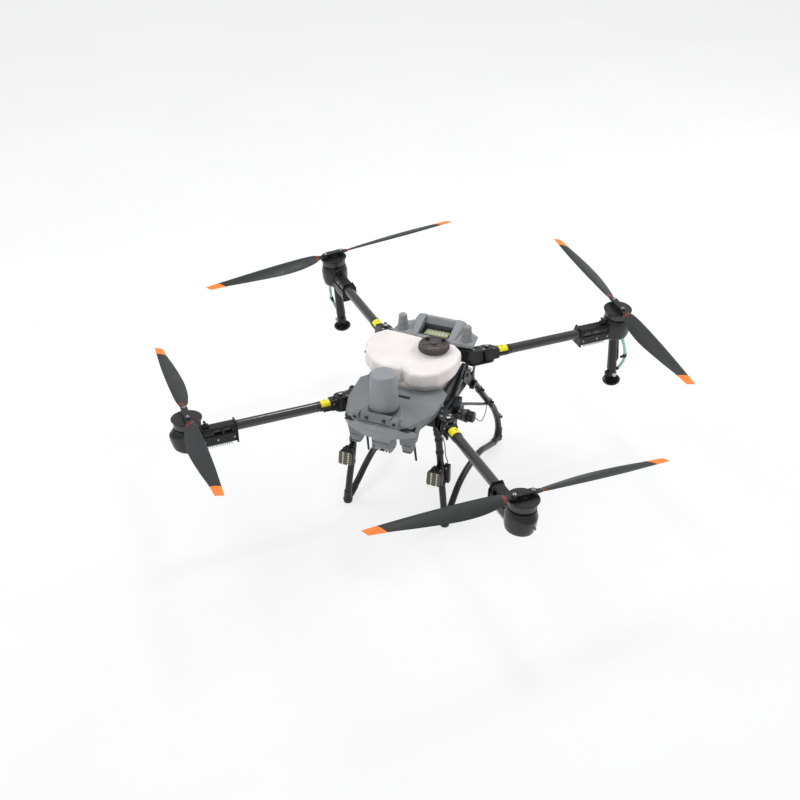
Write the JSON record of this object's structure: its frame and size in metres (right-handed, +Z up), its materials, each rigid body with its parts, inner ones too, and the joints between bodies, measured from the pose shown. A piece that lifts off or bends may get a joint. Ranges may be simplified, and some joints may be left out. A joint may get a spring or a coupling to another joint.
{
  "type": "agricultural spray drone",
  "caption": "Folding-arm agricultural spray drone with lift-out tank, rear sprinklers, nose radar dome, battery bay and tubular landing gear.",
  "frame": {"origin": "on the ground, midway between the four rotor axes", "axes": "+Z up, nose towards -Y, the aircraft's left towards +X"},
  "size_m": [2.253, 2.3314, 0.776],
  "materials": {
    "frame": "satin black moulded frame",
    "shell": "blue-grey moulded cover, fine grain",
    "dome": "lighter grey radome",
    "dark_plastic": "black moulded plastic",
    "electronics": "black electronics case",
    "battery_bay": "dark moulded bay",
    "rail": "satin bare aluminium",
    "leg": "satin black composite tube",
    "tank": "translucent off-white blow-moulded plastic",
    "cap": "dark brown-grey moulded plastic",
    "lamp": "black housing with a clear lens",
    "hose": "mint green translucent hose",
    "arm_tube": "satin carbon tube",
    "latch": "black lever",
    "motor": "gloss black motor and pod",
    "blade": "black composite with an orange tip"
  },
  "bodies": {
    "airframe": {"front_frame": "frame", "rear_frame": "frame", "front_shell": "shell", "lower_shell": "shell", "radar_base": "dark_plastic", "radar_dome": "dome", "vision_bar": "dark_plastic", "flight_controller": "electronics", "rear_shell": "shell", "battery_tray": "battery_bay", "left_rail": "rail", "left_antenna_rod": "dark_plastic", "left_rear_antenna": "shell", "left_front_leg": "leg", "left_skid": "leg", "left_rear_leg": "leg", "left_pump": "dark_plastic", "right_rail": "rail", "right_antenna_rod": "dark_plastic", "right_rear_antenna": "shell", "right_front_leg": "leg", "right_skid": "leg", "right_rear_leg": "leg", "right_pump": "dark_plastic"},
    "tank": {"tank": "tank"},
    "strainer": {"tank_strainer": "dark_plastic"},
    "cap": {"tank_cap": "cap"},
    "chin_camera": {"chin_camera": "dark_plastic"},
    "left_lamp": {"left_lamp": "lamp"},
    "right_lamp": {"right_lamp": "lamp"},
    "front_left_arm": {"front_left_arm": "arm_tube", "front_left_motor_pod": "motor"},
    "front_right_arm": {"front_right_arm": "arm_tube", "front_right_motor_pod": "motor"},
    "rear_left_arm": {"rear_left_arm": "arm_tube", "rear_left_motor_pod": "motor", "left_sprinkler": "dark_plastic", "left_spray_hose": "hose"},
    "rear_right_arm": {"rear_right_arm": "arm_tube", "rear_right_motor_pod": "motor", "right_sprinkler": "dark_plastic", "right_spray_hose": "hose"},
    "front_left_latch": {"front_left_latch": "latch"},
    "front_right_latch": {"front_right_latch": "latch"},
    "rear_left_latch": {"rear_left_latch": "latch"},
    "rear_right_latch": {"rear_right_latch": "latch"},
    "front_left_rotor": {"front_left_rotor": "motor"},
    "front_right_rotor": {"front_right_rotor": "motor"},
    "rear_left_rotor": {"rear_left_rotor": "motor"},
    "rear_right_rotor": {"rear_right_rotor": "motor"},
    "front_left_blade_a": {"front_left_blade_a": "blade"},
    "front_left_blade_b": {"front_left_blade_b": "blade"},
    "front_right_blade_a": {"front_right_blade_a": "blade"},
    "front_right_blade_b": {"front_right_blade_b": "blade"},
    "rear_left_blade_a": {"rear_left_blade_a": "blade"},
    "rear_left_blade_b": {"rear_left_blade_b": "blade"},
    "rear_right_blade_a": {"rear_right_blade_a": "blade"},
    "rear_right_blade_b": {"rear_right_blade_b": "blade"},
    "left_spray_disc": {"left_spray_disc": "dark_plastic"},
    "right_spray_disc": {"right_spray_disc": "dark_plastic"}
  },
  "joints": [
    {"name": "tank_lift", "type": "slide", "parent": "airframe", "child": "tank", "axis": [0, 0, 1], "range_m": [0, 0.25]},
    {"name": "strainer_lift", "type": "slide", "parent": "tank", "child": "strainer", "axis": [0, 0, 1], "range_m": [0, 0.12]},
    {"name": "cap_turn", "type": "hinge", "parent": "strainer", "child": "cap", "pos_m": [0.064, 0.056, 0.701], "axis": [0, 0, 1], "range_deg": [0, 90]},
    {"name": "chin_camera_tilt", "type": "hinge", "parent": "airframe", "child": "chin_camera", "pos_m": [0, -0.33, 0.43], "axis": [1, 0, 0], "range_deg": [-10, 50]},
    {"name": "left_lamp_tilt", "type": "hinge", "parent": "airframe", "child": "left_lamp", "pos_m": [0.199, -0.232, 0.3], "axis": [1, 0, 0], "range_deg": [-20, 20]},
    {"name": "right_lamp_tilt", "type": "hinge", "parent": "airframe", "child": "right_lamp", "pos_m": [-0.199, -0.232, 0.3], "axis": [1, 0, 0], "range_deg": [-20, 20]},
    {"name": "front_left_fold", "type": "hinge", "parent": "airframe", "child": "front_left_arm", "pos_m": [0.235, -0.235, 0.527], "axis": [0.0739, 0.0739, 0.9945], "range_deg": [0, 105]},
    {"name": "front_left_latch_open", "type": "hinge", "parent": "front_left_arm", "child": "front_left_latch", "pos_m": [0.24078, -0.28579, 0.53034], "axis": [-0.0739, -0.0739, -0.9945], "range_deg": [0, 70]},
    {"name": "front_left_spin", "type": "hinge", "parent": "front_left_arm", "child": "front_left_rotor", "pos_m": [0.6925, -0.6925, 0.611], "axis": [0.0493, 0.0493, 0.9976], "continuous": true},
    {"name": "front_left_blade_a_fold", "type": "hinge", "parent": "front_left_rotor", "child": "front_left_blade_a", "pos_m": [0.71978, -0.66177, 0.62517], "axis": [0.0493, 0.0493, 0.9976], "range_deg": [0, 90]},
    {"name": "front_left_blade_b_fold", "type": "hinge", "parent": "front_left_rotor", "child": "front_left_blade_b", "pos_m": [0.6669, -0.72155, 0.63074], "axis": [-0.0493, -0.0493, -0.9976], "range_deg": [0, 90]},
    {"name": "rear_left_fold", "type": "hinge", "parent": "airframe", "child": "rear_left_arm", "pos_m": [0.239, 0.239, 0.606], "axis": [0.1228, -0.1228, -0.9848], "range_deg": [0, 105]},
    {"name": "rear_left_latch_open", "type": "hinge", "parent": "rear_left_arm", "child": "rear_left_latch", "pos_m": [0.245, 0.28957, 0.60044], "axis": [-0.1228, 0.1228, 0.9848], "range_deg": [0, 70]},
    {"name": "rear_left_spin", "type": "hinge", "parent": "rear_left_arm", "child": "rear_left_rotor", "pos_m": [0.6925, 0.6925, 0.69], "axis": [0.0493, -0.0493, 0.9976], "continuous": true},
    {"name": "rear_left_blade_a_fold", "type": "hinge", "parent": "rear_left_rotor", "child": "rear_left_blade_a", "pos_m": [0.71978, 0.66177, 0.70417], "axis": [-0.0493, 0.0493, -0.9976], "range_deg": [0, 90]},
    {"name": "rear_left_blade_b_fold", "type": "hinge", "parent": "rear_left_rotor", "child": "rear_left_blade_b", "pos_m": [0.6669, 0.72155, 0.70974], "axis": [0.0493, -0.0493, 0.9976], "range_deg": [0, 90]},
    {"name": "left_spray_disc_spin", "type": "hinge", "parent": "rear_left_arm", "child": "left_spray_disc", "pos_m": [0.68393, 0.75506, 0.28729], "axis": [-0.0066, -0.1933, 0.9811], "continuous": true},
    {"name": "front_right_fold", "type": "hinge", "parent": "airframe", "child": "front_right_arm", "pos_m": [-0.235, -0.235, 0.527], "axis": [0.0739, -0.0739, -0.9945], "range_deg": [0, 105]},
    {"name": "front_right_latch_open", "type": "hinge", "parent": "front_right_arm", "child": "front_right_latch", "pos_m": [-0.24078, -0.28579, 0.53034], "axis": [-0.0739, 0.0739, 0.9945], "range_deg": [0, 70]},
    {"name": "front_right_spin", "type": "hinge", "parent": "front_right_arm", "child": "front_right_rotor", "pos_m": [-0.6925, -0.6925, 0.611], "axis": [0.0493, -0.0493, -0.9976], "continuous": true},
    {"name": "front_right_blade_a_fold", "type": "hinge", "parent": "front_right_rotor", "child": "front_right_blade_a", "pos_m": [-0.71978, -0.66177, 0.62517], "axis": [0.0493, -0.0493, -0.9976], "range_deg": [0, 90]},
    {"name": "front_right_blade_b_fold", "type": "hinge", "parent": "front_right_rotor", "child": "front_right_blade_b", "pos_m": [-0.6669, -0.72155, 0.63074], "axis": [-0.0493, 0.0493, 0.9976], "range_deg": [0, 90]},
    {"name": "rear_right_fold", "type": "hinge", "parent": "airframe", "child": "rear_right_arm", "pos_m": [-0.239, 0.239, 0.606], "axis": [0.1228, 0.1228, 0.9848], "range_deg": [0, 105]},
    {"name": "rear_right_latch_open", "type": "hinge", "parent": "rear_right_arm", "child": "rear_right_latch", "pos_m": [-0.245, 0.28957, 0.60044], "axis": [-0.1228, -0.1228, -0.9848], "range_deg": [0, 70]},
    {"name": "rear_right_spin", "type": "hinge", "parent": "rear_right_arm", "child": "rear_right_rotor", "pos_m": [-0.6925, 0.6925, 0.69], "axis": [0.0493, 0.0493, -0.9976], "continuous": true},
    {"name": "rear_right_blade_a_fold", "type": "hinge", "parent": "rear_right_rotor", "child": "rear_right_blade_a", "pos_m": [-0.71978, 0.66177, 0.70417], "axis": [-0.0493, -0.0493, 0.9976], "range_deg": [0, 90]},
    {"name": "rear_right_blade_b_fold", "type": "hinge", "parent": "rear_right_rotor", "child": "rear_right_blade_b", "pos_m": [-0.6669, 0.72155, 0.70974], "axis": [0.0493, 0.0493, -0.9976], "range_deg": [0, 90]},
    {"name": "right_spray_disc_spin", "type": "hinge", "parent": "rear_right_arm", "child": "right_spray_disc", "pos_m": [-0.68393, 0.75506, 0.28729], "axis": [-0.0066, 0.1933, -0.9811], "continuous": true}
  ]
}
